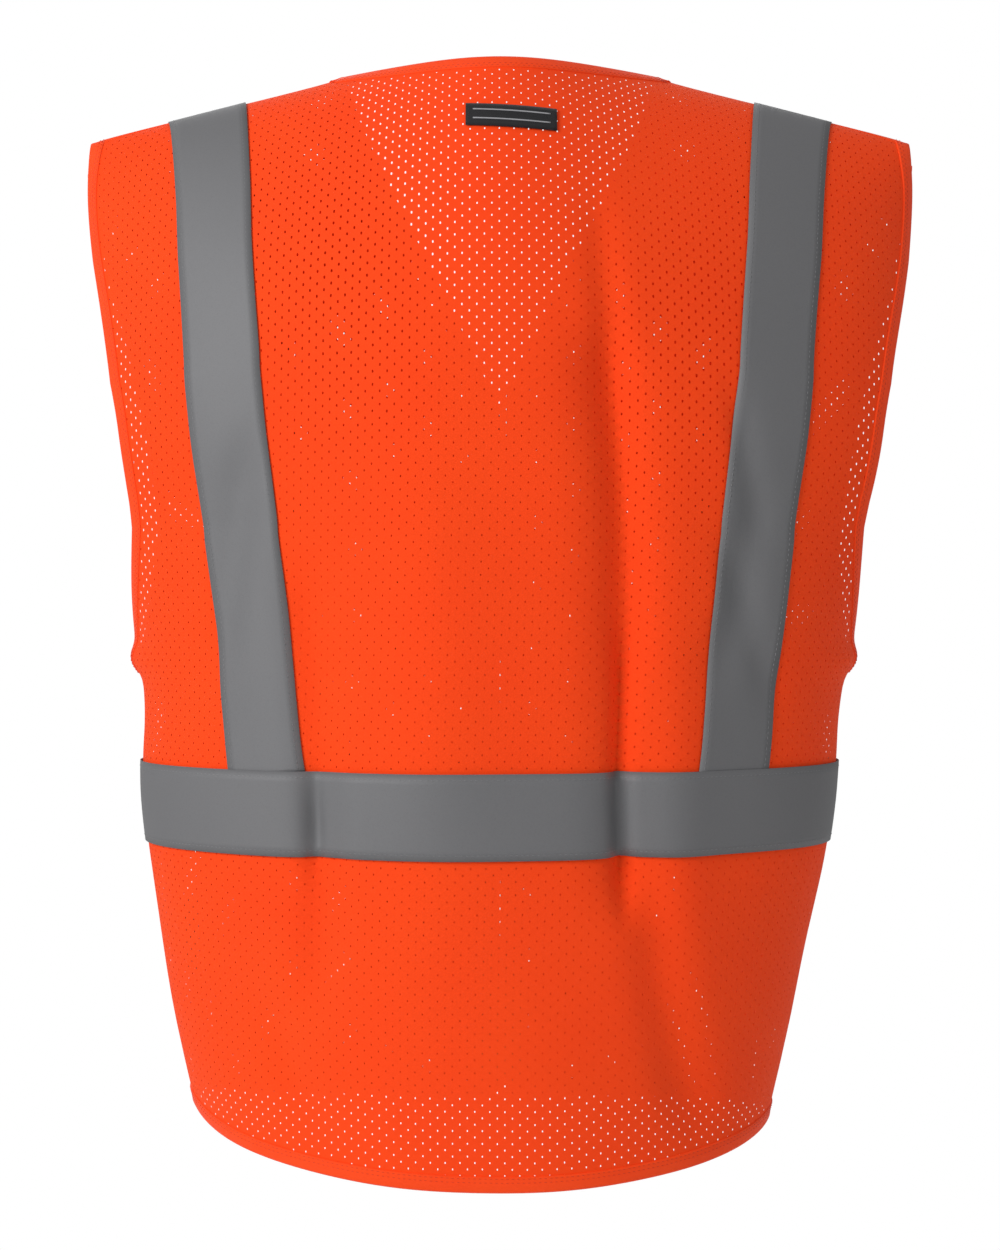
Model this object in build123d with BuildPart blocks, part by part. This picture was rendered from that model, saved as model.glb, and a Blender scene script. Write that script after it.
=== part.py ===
from build123d import *
import math
import os

# High visibility vest, hanging as it does on a person. Millimetres.
# Origin: on the neck's centre plane, level with the high points of the shoulders.
# +Z is up, -Y is the wearer's front, +X is the wearer's left.

# ---- body shape that the cloth follows -------------------------------------------------
SHOULDER_HALF_WIDTH = 266.0
WAIST_HALF_WIDTH = 234.0
HEM_HALF_WIDTH = 193.0
HEM_HEIGHT = -686.0
HEM_SIDE_RISE = 19.0
CHEST_TAPER_TOP = -230.0
CHEST_TAPER_LENGTH = 190.0
HEM_TAPER_TOP = -430.0
HEM_TAPER_POWER = 1.7
BACK_DEPTH = 135.0
FRONT_DEPTH = 125.0
DEEPEST_HEIGHT = -420.0
UPPER_BACK_INSET = 6.0
UPPER_BACK_LENGTH = 200.0
LOWER_BACK_INSET = 12.0
RIDGE_TOP = 29.9
RIDGE_SLOPE = 0.2563
NECK_RISE = 24.0
NECK_ROUNDING = 60.0
RIDGE_Y = -5.0
SHOULDER_DROP = 240.0
CUT_BELOW = -700.0
WIDE_X = 300.0
ABOVE_Z = 100.0

# ---- openings --------------------------------------------------------------------------
NECK_HALF_WIDTH = 100.0
NECK_BACK_HEIGHT = -2.0
NECK_END_INSET = 3.0
NECK_POINT_HEIGHT = -189.0
ARMHOLE_BOTTOM = -376.0
ARMHOLE_WIDEST_TURN = 65.3
ARMHOLE_WIDEST_FALL = 0.9
SHOULDER_TIP_TURN = 80.0
ARMHOLE_TAPER_FALL = 0.3
ARMHOLE_ROUNDNESS = 0.8
NECK_CURVE = 1.15
RIM_TOP = -62.0
ARMHOLE_CUT_X = 150.0
TIP_CUT_SIZE = (40.0, 90.0, 100.0)

# ---- cloth layers, as heights above the inner face of the mesh -------------------------
MESH_THICKNESS = 1.2
TAPE_LIFT = 1.8
TAPE_THICKNESS = 0.6
BINDING_LIFT = 2.4
BINDING_THICKNESS = 0.9
BINDING_WIDTH = 10.0
LAYER_GAP = 0.3
LABEL_THICKNESS = 0.5
SEAM_TURN = 89.8
SEAM_FALL = 0.012
GRID_DOWN = 40
GRID_ACROSS = 61
BAND_ACROSS = 37
HALF_BAND_ACROSS = 16

# ---- reflective tape -------------------------------------------------------------------
TAPE_WIDTH = 50.8
WAIST_TAPE_TOP = -438.0
WAIST_TAPE_BOTTOM = WAIST_TAPE_TOP - TAPE_WIDTH
SHOULDER_TAPE_X = 191.0
WAIST_TAPE_X = 140.0
SHOULDER_TAPE_START = 0.06

# ---- front fly: the inner halves of the front swing on upright folds -------------------
FOLD_X = 108.0
FLY_TOP = -200.0
FOLD_GAP = 0.3
FOLD_TURN_OUT = 0.2
FOLD_TURN_IN = 0.3
FRONT_EDGE_X = 4.5

# ---- zip -------------------------------------------------------------------------------
ZIP_TAPE_OUTER_X = 15.0
ZIP_TAPE_LIFT = -1.5
ZIP_TAPE_THICKNESS = 1.0
COIL_INNER_X = 0.85
COIL_OUTER_X = 2.6
COIL_HALF_THICKNESS = 1.1
COIL_ROUNDING = 0.6
ZIP_TAPE_INNER_X = COIL_OUTER_X + 0.2
COIL_Y = RIDGE_Y - FRONT_DEPTH + 0.65
COIL_BOTTOM = -676.0
ZIP_TAPE_Y = RIDGE_Y - FRONT_DEPTH - ZIP_TAPE_LIFT - ZIP_TAPE_THICKNESS / 2
SLIDER_TOP = -203.0
SLIDER_LENGTH = 11.0
SLIDER_BOTTOM = SLIDER_TOP - SLIDER_LENGTH
SLIDER_HALF_WIDTH = 4.1
ZIP_TAPE_NOTCH_X = SLIDER_HALF_WIDTH + 1.4
PLATE_THICKNESS = 1.5
PLATE_GAP = 0.4
POST_WIDTH = 0.9
POST_HEIGHT = 2.5
LEFT_COIL_TOP = SLIDER_TOP - PLATE_THICKNESS - POST_HEIGHT
STOP_HEIGHT = 2.2
RIGHT_STOP_TOP = SLIDER_BOTTOM - 0.9
RIGHT_COIL_TOP = SLIDER_BOTTOM - STOP_HEIGHT - 1.0
LEFT_STOP_SIZE = (4.2, 1.5, 2.0)
LEFT_STOP_X = COIL_OUTER_X + 0.5
LEFT_STOP_Z = FLY_TOP - 1.6
RETAINER_SIZE = (3.4, 2.6, 6.6)
INSERTION_PIN_SIZE = (1.6, 1.8, 6.6)
FOOT_GAP = 0.1
PIN_RADIUS = 0.6
PIN_LENGTH = 5.0
PIN_DROP = 3.5
EAR_SIZE = (1.2, 3.6, 3.4)
EAR_X = 2.6
PULL_EYE_RADIUS = 1.7
PULL_EYE_WIDTH = 3.0
PULL_EYE_CLEARANCE = 0.3
PULL_NECK_WIDTH = 2.6
PULL_NECK_LENGTH = 6.0
PULL_TAB_WIDTH = 6.5
PULL_TAB_LENGTH = 26.0
PULL_TAB_DROP = 18.2
PULL_TAB_ROUNDING = 2.0
PULL_NECK_DROP = 4.0
PULL_THICKNESS = 1.4
FRONT_PLATE_Y = COIL_Y - COIL_HALF_THICKNESS - PLATE_GAP - PLATE_THICKNESS / 2
BACK_PLATE_Y = COIL_Y + COIL_HALF_THICKNESS + PLATE_GAP + PLATE_THICKNESS / 2
PIN_Y = FRONT_PLATE_Y - PLATE_THICKNESS / 2 - PULL_EYE_RADIUS - 0.5
PIN_Z = SLIDER_TOP - PIN_DROP
EAR_Y = PIN_Y + 0.9

# ---- labels ----------------------------------------------------------------------------
LABEL_X = -7.0
LABEL_WIDTH = 54.6
LABEL_HEIGHT = 14.6
LABEL_TOP = -38.5
LABEL_TILT = 0.06
LABEL_LIFT = 2.1
CARE_LABEL_TURNS = (71.0, 76.0)
CARE_LABEL_TOP = -520.0
CARE_LABEL_BOTTOM = -565.0
CARE_LABEL_DROP = 1.0

# ---- pockets ---------------------------------------------------------------------------
POCKET_INNER_X = 22.0
POCKET_OUTER_X = 98.0
POCKET_LIFT = 1.6
POCKET_DEPTH = 9.0
POCKET_WALL = 0.8
POCKET_SEAM = 1.2
CHEST_POCKET = (-255.0, -385.0)
LOWER_POCKET = (-512.0, -648.0)


def ease(share):
    """Smooth step from 0 to 1."""
    share = min(max(share, 0.0), 1.0)
    return share * share * (3 - 2 * share)


def half_width(z):
    """Half of the vest's width across the wearer at a height."""
    taper = ease((CHEST_TAPER_TOP - z) / CHEST_TAPER_LENGTH)
    upper = SHOULDER_HALF_WIDTH - (SHOULDER_HALF_WIDTH - WAIST_HALF_WIDTH) * taper
    below = max(0.0, (HEM_TAPER_TOP - z) / (HEM_TAPER_TOP - HEM_HEIGHT))
    return upper - (WAIST_HALF_WIDTH - HEM_HALF_WIDTH) * below**HEM_TAPER_POWER


def half_depth(z, back):
    """Distance from the shoulder ridge's plane to the middle of the back or front."""
    if not back:
        return FRONT_DEPTH
    above = z - DEEPEST_HEIGHT
    if above > 0:
        return BACK_DEPTH - UPPER_BACK_INSET * ease(above / UPPER_BACK_LENGTH)
    return BACK_DEPTH - LOWER_BACK_INSET * (above / (DEEPEST_HEIGHT - HEM_HEIGHT)) ** 2


def ridge_height(x):
    """Height of the shoulder line, which falls away from the neck."""
    slope = RIDGE_SLOPE * math.hypot(x, NECK_ROUNDING)
    return RIDGE_TOP - slope + NECK_RISE * math.exp(-((x / NECK_ROUNDING) ** 2))


def cloth_base(turn, fall):
    """Point of the inner face. turn is the angle across in degrees; fall runs down from the
    shoulder ridge in units of SHOULDER_DROP, positive on the back and negative on the front."""
    across = math.sin(math.radians(turn))
    ridge = ridge_height(SHOULDER_HALF_WIDTH * across)
    if abs(fall) < 1:
        angle = math.radians(90 * fall)
        z = ridge - SHOULDER_DROP * (1 - math.cos(angle))
        out = math.sin(angle)
    else:
        z = ridge - SHOULDER_DROP * abs(fall)
        out = math.copysign(1, fall)
    depth = half_depth(z, fall > 0) * math.cos(math.radians(turn))
    return Vector(half_width(z) * across, RIDGE_Y + depth * out, z)


def cloth_slopes(turn, fall):
    """Steps of the surface for a degree of turn and for a unit of fall."""
    step = 0.004
    per_turn = (cloth_base(turn + step, fall) - cloth_base(turn - step, fall)) * (0.5 / step)
    per_fall = (cloth_base(turn, fall + step) - cloth_base(turn, fall - step)) * (0.5 / step)
    return per_turn, per_fall


def cloth_point(turn, fall, lift=0.0):
    """Point that stands lift above the inner face, outwards."""
    per_turn, per_fall = cloth_slopes(turn, fall)
    return cloth_base(turn, fall) + per_turn.cross(per_fall).normalized() * lift


def fall_at(turn, z, back=True):
    """The fall that puts a column of the cloth at a height."""
    below = (ridge_height(SHOULDER_HALF_WIDTH * math.sin(math.radians(turn))) - z) / SHOULDER_DROP
    fall = below if below > 1 else math.degrees(math.acos(1 - max(below, 0.0))) / 90
    return fall if back else -fall


def turn_at(x, z):
    """The turn that puts the cloth at a distance across, at a height."""
    return math.degrees(math.asin(x / half_width(z)))


def hem_height(x):
    """Height of the hem, which rises a little towards the sides."""
    return HEM_HEIGHT + HEM_SIDE_RISE * (x / HEM_HALF_WIDTH) ** 2


def spread(first, last, count):
    """Evenly spaced values from first to last."""
    return [first + (last - first) * i / (count - 1) for i in range(count)]


def cloth_face(rows, lift):
    """Smooth face over a grid of (turn, fall) places, at one lift."""
    return Face.make_surface_from_array_of_points(
        [[cloth_point(turn, fall, lift) for turn, fall in row] for row in rows]
    )


def cloth_solid(rows, lift, thickness):
    """Closed solid over a grid of (turn, fall) places: two skins and the walls round them."""
    inner = cloth_face(rows, lift)
    outer = cloth_face(rows, lift + thickness)
    rims = zip(inner.outer_wire().edges(), outer.outer_wire().edges())
    walls = [Face.make_surface_from_curves(below, above) for below, above in rims]
    return Solid(Shell([inner, outer, *walls]))


def half_body(back, lift, thickness):
    """The whole back or the whole front as one layer, from ridge to below the hem."""
    rows = []
    for share in spread(0, 1, GRID_DOWN):
        row = []
        for turn in spread(-SEAM_TURN, SEAM_TURN, GRID_ACROSS):
            lowest = abs(fall_at(turn, CUT_BELOW))
            fall = SEAM_FALL + (lowest - SEAM_FALL) * share
            row.append((turn, fall if back else -fall))
        rows.append(row)
    return cloth_solid(rows, lift, thickness)


def band(turns, top, bottom, back, lift, thickness):
    """Band between two heights, each a function of the distance across."""
    rows = []
    for share in spread(0, 1, 4):
        row = []
        for turn in turns:
            x = half_width(HEM_HEIGHT) * math.sin(math.radians(turn))
            z = top(x) + (bottom(x) - top(x)) * share
            row.append((turn, fall_at(turn, z, back)))
        rows.append(row)
    return cloth_solid(rows, lift, thickness)


def beside(places, i, distance):
    """Place that lies on the cloth at a distance to the left of a path at its point i."""
    turn, fall = places[i]
    last = len(places) - 1
    ahead = cloth_point(*places[min(i + 1, last)]) - cloth_point(*places[max(i - 1, 0)])
    steps = 12
    for _ in range(steps):
        per_turn, per_fall = cloth_slopes(turn, fall)
        outward = per_turn.cross(per_fall).normalized()
        step = outward.cross(ahead).normalized() * (distance / steps)
        tt, ff, tf = per_turn.dot(per_turn), per_fall.dot(per_fall), per_turn.dot(per_fall)
        st, sf = step.dot(per_turn), step.dot(per_fall)
        scale = tt * ff - tf * tf
        turn += (st * ff - sf * tf) / scale
        fall += (sf * tt - st * tf) / scale
    return turn, fall


def strip(places, first, last, lift, thickness):
    """Strip along a path of places on the cloth, between two distances to its left."""
    rows = []
    for i in range(len(places)):
        rows.append([beside(places, i, distance) for distance in spread(first, last, 3)])
    return cloth_solid(rows, lift, thickness)


def armhole_turn(fall):
    """Turn of the armhole's edge, which runs out to the shoulder's tip and in to the side seam."""
    if fall < ARMHOLE_WIDEST_FALL:
        share = ease((fall - ARMHOLE_TAPER_FALL) / (ARMHOLE_WIDEST_FALL - ARMHOLE_TAPER_FALL))
        return SHOULDER_TIP_TURN + (ARMHOLE_WIDEST_TURN - SHOULDER_TIP_TURN) * share
    lowest = fall_at(SEAM_TURN, ARMHOLE_BOTTOM)
    share = (lowest - fall) / (lowest - ARMHOLE_WIDEST_FALL)
    rounding = math.sin(math.radians(90 * share)) ** ARMHOLE_ROUNDNESS
    reach = math.cos(math.radians(ARMHOLE_WIDEST_TURN)) * rounding
    return min(SEAM_TURN, math.degrees(math.acos(reach)))


def armhole_edge(hand):
    """Places round the armhole, up its back edge, over the shoulder and down the front."""
    lowest = fall_at(SEAM_TURN, ARMHOLE_BOTTOM) - 0.002
    side = [(armhole_turn(lowest * share), lowest * share) for share in spread(1, 0, 30)]
    front = [(turn, -fall) for turn, fall in reversed(side[:-1])]
    return [(hand * turn, fall) for turn, fall in side + front]


def neck_front_edge(hand):
    """Places down the front neckline, from the shoulder to the point of the V."""
    places = []
    for share in spread(0.0, 1.0, 18):
        x = FRONT_EDGE_X + 1 + (NECK_HALF_WIDTH - FRONT_EDGE_X - 1) * (1 - share**NECK_CURVE)
        turn = turn_at(hand * x, 0)
        top = ridge_height(x) - 0.4
        places.append((turn, fall_at(turn, top + (NECK_POINT_HEIGHT - top) * share, False)))
    return places


def neck_back_edge():
    """Places along the back neckline, from the wearer's left to right."""
    places = []
    end = NECK_HALF_WIDTH - NECK_END_INSET
    for x in spread(end, -end, 25):
        turn = turn_at(x, 0)
        places.append((turn, fall_at(turn, NECK_BACK_HEIGHT)))
    return places


def shoulder_tape_line(hand, back):
    """Middle of a shoulder tape, from the shoulder seam down to the waist tape."""
    lowest = fall_at(turn_at(WAIST_TAPE_X, WAIST_TAPE_TOP), WAIST_TAPE_TOP + 6)
    places = []
    for fall in spread(SHOULDER_TAPE_START, lowest, 24):
        x = SHOULDER_TAPE_X + (WAIST_TAPE_X - SHOULDER_TAPE_X) * fall / lowest
        z = WAIST_TAPE_TOP * fall / lowest
        places.append((turn_at(hand * x, z), fall if back else -fall))
    return places


def outline_solid(points):
    """Prism right through the vest, front to back, from an outline of (across, height) points."""
    with BuildPart() as prism:
        with BuildSketch(Plane.XZ):
            with BuildLine():
                Polyline(*points, close=True)
            make_face()
        extrude(amount=WIDE_X, both=True)
    return prism.part


def mirrored(points, hand):
    """Outline points for the wearer's left (1) or right (-1)."""
    return [(hand * x, z) for x, z in points]


def level(z):
    """Edge of a band that stays at one height."""
    return lambda x: z


def hem_binding_top(x):
    """Upper edge of the hem's binding."""
    return hem_height(x) + BINDING_WIDTH


def pocket_block(hand, top, bottom, lift, depth, margin):
    """Layer of a pocket's outline; margin draws its sides and bottom in."""
    rows = []
    low = bottom + margin
    for share in spread(0, 1, 6):
        z = top + (low - top) * share
        first = turn_at(hand * (POCKET_INNER_X + margin), z)
        last = turn_at(hand * (POCKET_OUTER_X - margin), z)
        rows.append([(turn, fall_at(turn, z, False)) for turn in spread(first, last, 9)])
    return cloth_solid(rows, lift, depth)


def finish(piece, name):
    """Name a finished piece and write it."""
    piece.part.label = name
    export_step(piece.part, f"parts/{name}.step")


os.makedirs("parts", exist_ok=True)

# ---- cutters ---------------------------------------------------------------------------
side_z = hem_height(WIDE_X)
with BuildPart() as hem_cut:
    with BuildSketch(Plane.XZ):
        with BuildLine():
            ThreePointArc((-WIDE_X, side_z), (0, HEM_HEIGHT), (WIDE_X, side_z))
            Polyline((WIDE_X, side_z), (WIDE_X, ABOVE_Z), (-WIDE_X, ABOVE_Z), (-WIDE_X, side_z))
        make_face()
    extrude(amount=WIDE_X, both=True)

tip_x = SHOULDER_HALF_WIDTH * math.sin(math.radians(SHOULDER_TIP_TURN))
rim = [cloth_base(turn, fall) for turn, fall in armhole_edge(1)]
rim_outline = [(place.Y, place.Z) for place in rim if place.Z < RIM_TOP]
with BuildPart() as armhole_cut:
    for hand in (1, -1):
        with BuildSketch(Plane.YZ.offset(hand * (WIDE_X + ARMHOLE_CUT_X) / 2)):
            with BuildLine():
                Polyline((RIDGE_Y, ARMHOLE_BOTTOM), *rim_outline, close=True)
            make_face()
        extrude(amount=(WIDE_X - ARMHOLE_CUT_X) / 2, both=True)
        with Locations((hand * (tip_x + TIP_CUT_SIZE[0] / 2), 0, RIM_TOP)):
            Box(*TIP_CUT_SIZE)

neck_front = [(NECK_HALF_WIDTH, ABOVE_Z), (NECK_HALF_WIDTH, ridge_height(NECK_HALF_WIDTH))]
for turn, fall in neck_front_edge(1):
    place = cloth_base(turn, fall)
    neck_front.append((place.X, place.Z))
side_front = neck_front + [
    (FRONT_EDGE_X, FLY_TOP + FOLD_GAP),
    (FOLD_X + FOLD_GAP, FLY_TOP + FOLD_GAP),
    (FOLD_X + FOLD_GAP, CUT_BELOW - 5),
    (WIDE_X, CUT_BELOW - 5),
    (WIDE_X, ABOVE_Z),
]
fly_front = [
    (FRONT_EDGE_X, FLY_TOP),
    (FOLD_X, FLY_TOP),
    (FOLD_X, CUT_BELOW - 5),
    (FRONT_EDGE_X, CUT_BELOW - 5),
]

# ---- mesh panels -----------------------------------------------------------------------
with BuildPart() as back_panel:
    add(half_body(True, 0, MESH_THICKNESS))
    add(hem_cut.part, mode=Mode.INTERSECT)
    add(armhole_cut.part, mode=Mode.SUBTRACT)
    with Locations((0, 0, NECK_BACK_HEIGHT + ABOVE_Z / 2)):
        Box(2 * NECK_HALF_WIDTH, WIDE_X, ABOVE_Z, mode=Mode.SUBTRACT)
finish(back_panel, "back_panel")

with BuildPart() as front_layer:
    add(half_body(False, 0, MESH_THICKNESS))
    add(hem_cut.part, mode=Mode.INTERSECT)
    add(armhole_cut.part, mode=Mode.SUBTRACT)

for hand, word in ((1, "left"), (-1, "right")):
    with BuildPart() as front_side:
        add(front_layer.part)
        add(outline_solid(mirrored(side_front, hand)), mode=Mode.INTERSECT)
    finish(front_side, f"{word}_front_side")
    with BuildPart() as front_fly:
        add(front_layer.part)
        add(outline_solid(mirrored(fly_front, hand)), mode=Mode.INTERSECT)
    finish(front_fly, f"{word}_front_panel")

# ---- reflective tape -------------------------------------------------------------------
with BuildPart() as back_waist_tape:
    turns = spread(-SEAM_TURN, SEAM_TURN, BAND_ACROSS)
    top, bottom = level(WAIST_TAPE_TOP), level(WAIST_TAPE_BOTTOM)
    add(band(turns, top, bottom, True, TAPE_LIFT, TAPE_THICKNESS))
finish(back_waist_tape, "back_waist_tape")

for hand, word in ((1, "left"), (-1, "right")):
    fold = turn_at(hand * FOLD_X, WAIST_TAPE_TOP)
    with BuildPart() as side_waist_tape:
        turns = spread(fold + hand * FOLD_TURN_OUT, hand * SEAM_TURN, HALF_BAND_ACROSS)
        add(band(turns, top, bottom, False, TAPE_LIFT, TAPE_THICKNESS))
    finish(side_waist_tape, f"{word}_side_waist_tape")
    with BuildPart() as front_waist_tape:
        first = turn_at(hand * FRONT_EDGE_X, WAIST_TAPE_TOP)
        turns = spread(first, fold - hand * FOLD_TURN_IN, HALF_BAND_ACROSS)
        add(band(turns, top, bottom, False, TAPE_LIFT, TAPE_THICKNESS))
    finish(front_waist_tape, f"{word}_front_waist_tape")
    for back, half in ((True, "back"), (False, "front")):
        with BuildPart() as shoulder_tape:
            line = shoulder_tape_line(hand, back)
            add(strip(line, -TAPE_WIDTH / 2, TAPE_WIDTH / 2, TAPE_LIFT, TAPE_THICKNESS))
        finish(shoulder_tape, f"{word}_{half}_shoulder_tape")

# ---- bindings --------------------------------------------------------------------------
with BuildPart() as back_neck_binding:
    add(strip(neck_back_edge(), -0.5, -BINDING_WIDTH, BINDING_LIFT, BINDING_THICKNESS))
finish(back_neck_binding, "back_neck_binding")

with BuildPart() as back_hem_binding:
    turns = spread(-SEAM_TURN, SEAM_TURN, BAND_ACROSS)
    add(band(turns, hem_binding_top, hem_height, True, BINDING_LIFT, BINDING_THICKNESS))
finish(back_hem_binding, "back_hem_binding")

for hand, word in ((1, "left"), (-1, "right")):
    with BuildPart() as armhole_binding:
        edge = armhole_edge(hand)
        add(strip(edge, 0, -hand * BINDING_WIDTH, BINDING_LIFT, BINDING_THICKNESS))
    finish(armhole_binding, f"{word}_armhole_binding")
    with BuildPart() as neck_binding:
        edge = neck_front_edge(hand)
        add(strip(edge, 0, hand * BINDING_WIDTH, BINDING_LIFT, BINDING_THICKNESS))
    finish(neck_binding, f"{word}_neck_binding")
    fold = turn_at(hand * FOLD_X, HEM_HEIGHT)
    with BuildPart() as side_hem_binding:
        turns = spread(fold + hand * FOLD_TURN_OUT, hand * SEAM_TURN, HALF_BAND_ACROSS)
        add(band(turns, hem_binding_top, hem_height, False, BINDING_LIFT, BINDING_THICKNESS))
    finish(side_hem_binding, f"{word}_side_hem_binding")
    with BuildPart() as front_hem_binding:
        first = turn_at(hand * FRONT_EDGE_X, HEM_HEIGHT)
        turns = spread(first, fold - hand * FOLD_TURN_IN, HALF_BAND_ACROSS)
        add(band(turns, hem_binding_top, hem_height, False, BINDING_LIFT, BINDING_THICKNESS))
    finish(front_hem_binding, f"{word}_front_hem_binding")

# ---- labels ----------------------------------------------------------------------------
with BuildPart() as neck_label:
    rows = []
    for share in spread(0, 1, 3):
        row = []
        for x in spread(LABEL_X + LABEL_WIDTH / 2, LABEL_X - LABEL_WIDTH / 2, 7):
            z = LABEL_TOP + (x - LABEL_X) * LABEL_TILT - LABEL_HEIGHT * share
            row.append((turn_at(x, z), fall_at(turn_at(x, z), z)))
        rows.append(row)
    add(cloth_solid(rows, LABEL_LIFT, LABEL_THICKNESS))
finish(neck_label, "neck_label")

with BuildPart() as care_label:
    turns = spread(CARE_LABEL_TURNS[0], CARE_LABEL_TURNS[1], 5)
    top, bottom = level(CARE_LABEL_TOP), level(CARE_LABEL_BOTTOM)
    add(band(turns, top, bottom, True, -CARE_LABEL_DROP, LABEL_THICKNESS))
finish(care_label, "care_label")

# ---- zip -------------------------------------------------------------------------------
coil_x = (COIL_INNER_X + COIL_OUTER_X) / 2
coil_width = COIL_OUTER_X - COIL_INNER_X
for hand, word, coil_top in ((1, "left", LEFT_COIL_TOP), (-1, "right", RIGHT_COIL_TOP)):
    tape_points = [
        (ZIP_TAPE_INNER_X, coil_top),
        (ZIP_TAPE_INNER_X, COIL_BOTTOM),
        (ZIP_TAPE_OUTER_X, COIL_BOTTOM),
        (ZIP_TAPE_OUTER_X, FLY_TOP - 1),
        (ZIP_TAPE_NOTCH_X, FLY_TOP - 1),
        (ZIP_TAPE_NOTCH_X, coil_top),
    ]
    with BuildPart() as zip_tape:
        with BuildSketch(Plane.XZ.offset(-ZIP_TAPE_Y)):
            with BuildLine():
                Polyline(*mirrored(tape_points, hand), close=True)
            make_face()
        extrude(amount=ZIP_TAPE_THICKNESS / 2, both=True)
    finish(zip_tape, f"{word}_zip_tape")
    with BuildPart() as zip_coil:
        with BuildSketch(Plane.XY.offset(COIL_BOTTOM)):
            with Locations((hand * coil_x, COIL_Y)):
                RectangleRounded(coil_width, 2 * COIL_HALF_THICKNESS, COIL_ROUNDING)
        extrude(amount=coil_top - COIL_BOTTOM)
    finish(zip_coil, f"{word}_zip_coil")

with BuildPart() as right_top_stop:
    with Locations((-coil_x, COIL_Y, RIGHT_STOP_TOP - STOP_HEIGHT / 2)):
        Box(coil_width, 2 * COIL_HALF_THICKNESS, STOP_HEIGHT)
finish(right_top_stop, "right_top_stop")

with BuildPart() as left_top_stop:
    with Locations((LEFT_STOP_X, ZIP_TAPE_Y, LEFT_STOP_Z)):
        Box(*LEFT_STOP_SIZE)
finish(left_top_stop, "left_top_stop")

with BuildPart() as retainer_box:
    with Locations((COIL_INNER_X, COIL_Y, COIL_BOTTOM - FOOT_GAP)):
        Box(*RETAINER_SIZE, align=(Align.MIN, Align.CENTER, Align.MAX))
finish(retainer_box, "retainer_box")

with BuildPart() as insertion_pin:
    with Locations((-COIL_INNER_X, COIL_Y, COIL_BOTTOM - FOOT_GAP)):
        Box(*INSERTION_PIN_SIZE, align=(Align.MAX, Align.CENTER, Align.MAX))
finish(insertion_pin, "insertion_pin")

slider_z = (SLIDER_TOP + SLIDER_BOTTOM) / 2
with BuildPart() as zip_slider:
    with Locations((0, FRONT_PLATE_Y, slider_z), (0, BACK_PLATE_Y, slider_z)):
        Box(2 * SLIDER_HALF_WIDTH, PLATE_THICKNESS, SLIDER_LENGTH)
    with Locations((0, COIL_Y, SLIDER_TOP - POST_HEIGHT / 2)):
        Box(POST_WIDTH, BACK_PLATE_Y - FRONT_PLATE_Y, POST_HEIGHT)
    with Locations((EAR_X, EAR_Y, PIN_Z), (-EAR_X, EAR_Y, PIN_Z)):
        Box(*EAR_SIZE)
    with Locations((0, PIN_Y, PIN_Z)):
        Cylinder(PIN_RADIUS, PIN_LENGTH, rotation=(0, 90, 0))
finish(zip_slider, "zip_slider")

with BuildPart() as zip_pull:
    with BuildSketch(Plane.YZ):
        with Locations((PIN_Y, PIN_Z)):
            Circle(PULL_EYE_RADIUS)
    extrude(amount=PULL_EYE_WIDTH / 2, both=True)
    with BuildSketch(Plane.XZ.offset(-PIN_Y)):
        with Locations((0, PIN_Z - PULL_TAB_DROP)):
            RectangleRounded(PULL_TAB_WIDTH, PULL_TAB_LENGTH, PULL_TAB_ROUNDING)
        with Locations((0, PIN_Z - PULL_NECK_DROP)):
            Rectangle(PULL_NECK_WIDTH, PULL_NECK_LENGTH)
    extrude(amount=PULL_THICKNESS / 2, both=True)
    with Locations((0, PIN_Y, PIN_Z)):
        eye_hole = PIN_RADIUS + PULL_EYE_CLEARANCE
        Cylinder(eye_hole, PULL_TAB_WIDTH, rotation=(0, 90, 0), mode=Mode.SUBTRACT)
finish(zip_pull, "zip_pull")

# ---- pockets ---------------------------------------------------------------------------
pockets = {
    "chest_pocket": (1, *CHEST_POCKET),
    "left_lower_pocket": (1, *LOWER_POCKET),
    "right_lower_pocket": (-1, *LOWER_POCKET),
}
for name, (hand, top, bottom) in pockets.items():
    with BuildPart() as pocket:
        add(pocket_block(hand, top, bottom, POCKET_LIFT, POCKET_DEPTH, 0))
        hollow = POCKET_DEPTH - POCKET_WALL + 1
        inside = pocket_block(hand, top + 1, bottom, POCKET_LIFT - 1, hollow, POCKET_SEAM)
        add(inside, mode=Mode.SUBTRACT)
    finish(pocket, name)
    with BuildPart() as pocket_binding:
        outside = POCKET_LIFT + POCKET_DEPTH + LAYER_GAP
        add(pocket_block(hand, top, top - BINDING_WIDTH, outside, BINDING_THICKNESS, 0))
    finish(pocket_binding, f"{name}_binding")
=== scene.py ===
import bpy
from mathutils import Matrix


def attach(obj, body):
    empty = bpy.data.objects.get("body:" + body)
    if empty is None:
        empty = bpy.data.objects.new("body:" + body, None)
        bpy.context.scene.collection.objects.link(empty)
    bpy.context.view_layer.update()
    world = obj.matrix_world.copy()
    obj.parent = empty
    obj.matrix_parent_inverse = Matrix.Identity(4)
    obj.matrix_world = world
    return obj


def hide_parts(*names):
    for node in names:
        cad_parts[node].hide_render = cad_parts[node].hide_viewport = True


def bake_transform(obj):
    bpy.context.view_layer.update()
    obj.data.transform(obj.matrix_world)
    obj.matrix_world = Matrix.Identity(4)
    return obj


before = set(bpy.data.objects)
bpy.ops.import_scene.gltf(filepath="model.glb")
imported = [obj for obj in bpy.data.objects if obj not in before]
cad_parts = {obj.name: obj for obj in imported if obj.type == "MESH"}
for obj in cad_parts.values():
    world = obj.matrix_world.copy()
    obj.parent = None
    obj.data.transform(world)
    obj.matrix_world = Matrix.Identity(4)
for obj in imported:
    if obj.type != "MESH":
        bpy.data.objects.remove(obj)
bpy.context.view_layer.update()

import math

import bpy
import numpy as np
from mathutils import Vector

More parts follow.
